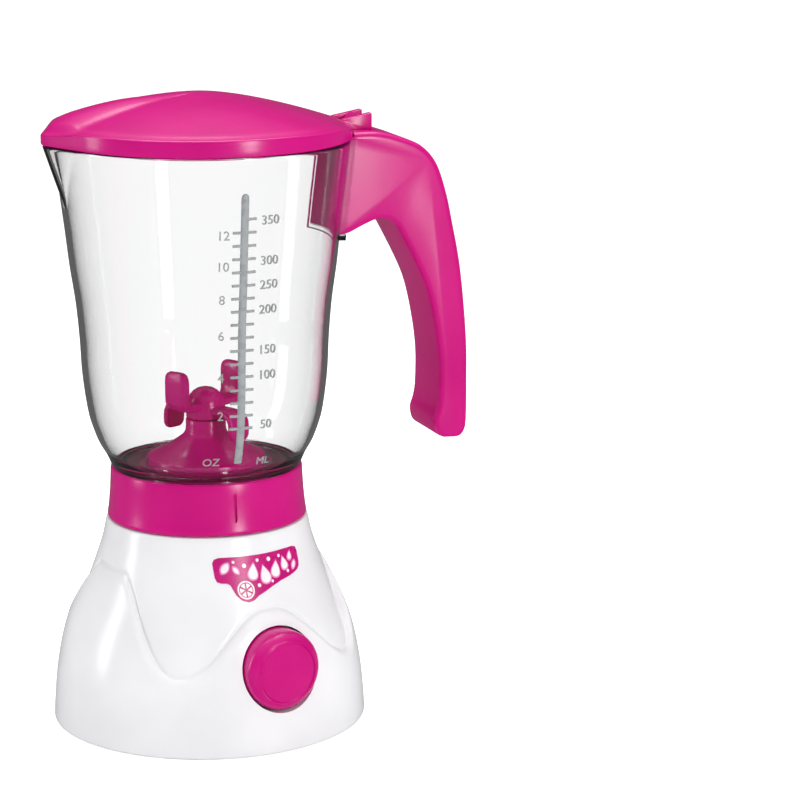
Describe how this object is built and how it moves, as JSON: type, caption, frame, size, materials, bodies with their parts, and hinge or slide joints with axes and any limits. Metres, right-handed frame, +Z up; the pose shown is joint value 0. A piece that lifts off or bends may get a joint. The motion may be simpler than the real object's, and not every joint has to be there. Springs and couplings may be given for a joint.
{
  "type": "toy blender",
  "caption": "Toy blender with a flared base and push button, a clear lift-off jar with spout and handle, a hinged domed lid and spinning blades.",
  "frame": {"origin": "centre of the base's underside, on the surface it rests on", "axes": "+Z up along the jar and drive axis, +X towards the handle, -Y towards the jar's scale; the base's front is turned 12.25 degrees from -Y towards +X"},
  "size_m": [0.1445, 0.1079, 0.2128],
  "materials": {
    "white_abs": "gloss moulded",
    "magenta_abs": "gloss moulded",
    "clear_styrene": "clear polished",
    "natural_nylon": "satin moulded",
    "zinc_steel": "zinc plated",
    "spring_steel": "bright drawn",
    "printed_label": "printed film"
  },
  "bodies": {
    "base": {"base_shell": "white_abs", "bottom_cover": "white_abs", "cover_screws": "zinc_steel", "gearbox_tray": "natural_nylon", "gearbox_plate": "natural_nylon", "gearbox_screws": "zinc_steel", "gear_axle": "zinc_steel", "deck_bush": "natural_nylon", "front_label": "printed_label", "return_spring": "spring_steel"},
    "button": {"button_cap": "magenta_abs", "button_slider": "natural_nylon"},
    "step_gear": {"step_gear": "natural_nylon"},
    "drive": {"drive_shaft": "zinc_steel", "drive_pinion": "natural_nylon", "drive_dog": "natural_nylon"},
    "jar": {"jar": "clear_styrene", "jar_collar": "magenta_abs", "blade_seat": "magenta_abs", "seat_screws": "zinc_steel", "handle": "magenta_abs", "handle_cover": "magenta_abs", "handle_screws": "zinc_steel", "hinge_pin": "zinc_steel"},
    "lid": {"lid": "magenta_abs"},
    "blades": {"blade_rotor": "magenta_abs", "blade_shaft": "zinc_steel", "shaft_clip": "zinc_steel", "driven_cup": "natural_nylon"}
  },
  "joints": [
    {"name": "button_press", "type": "slide", "parent": "base", "child": "button", "axis": [-0.2122, 0.9772, 0], "range_m": [0, 0.007], "stiffness_N_per_m": 250, "springref_m": -0.003, "deforming": ["return_spring"]},
    {"name": "step_gear_spin", "type": "hinge", "parent": "base", "child": "step_gear", "pos_m": [0.01325, -0.0139, 0.03], "axis": [0, 0, 1], "range_deg": [-82, 0.5]},
    {"name": "drive_spin", "type": "hinge", "parent": "base", "child": "drive", "pos_m": [0, 0, 0.035], "axis": [0, 0, 1], "range_deg": [-1, 242]},
    {"name": "jar_lift", "type": "slide", "parent": "base", "child": "jar", "axis": [0, 0, 1], "range_m": [0, 0.04]},
    {"name": "blade_spin", "type": "hinge", "parent": "jar", "child": "blades", "pos_m": [0, 0, 0.1], "axis": [0, 0, 1], "range_deg": [-1, 242]},
    {"name": "lid_hinge", "type": "hinge", "parent": "jar", "child": "lid", "pos_m": [0.0535, 0, 0.2006], "axis": [0, 1, 0], "range_deg": [0, 100]}
  ],
  "couplings": [
    {"joint": "step_gear_spin", "follows": "button_press", "rad_per_m": -200},
    {"joint": "drive_spin", "follows": "button_press", "rad_per_m": 600},
    {"joint": "blade_spin", "follows": "button_press", "rad_per_m": 600}
  ]
}
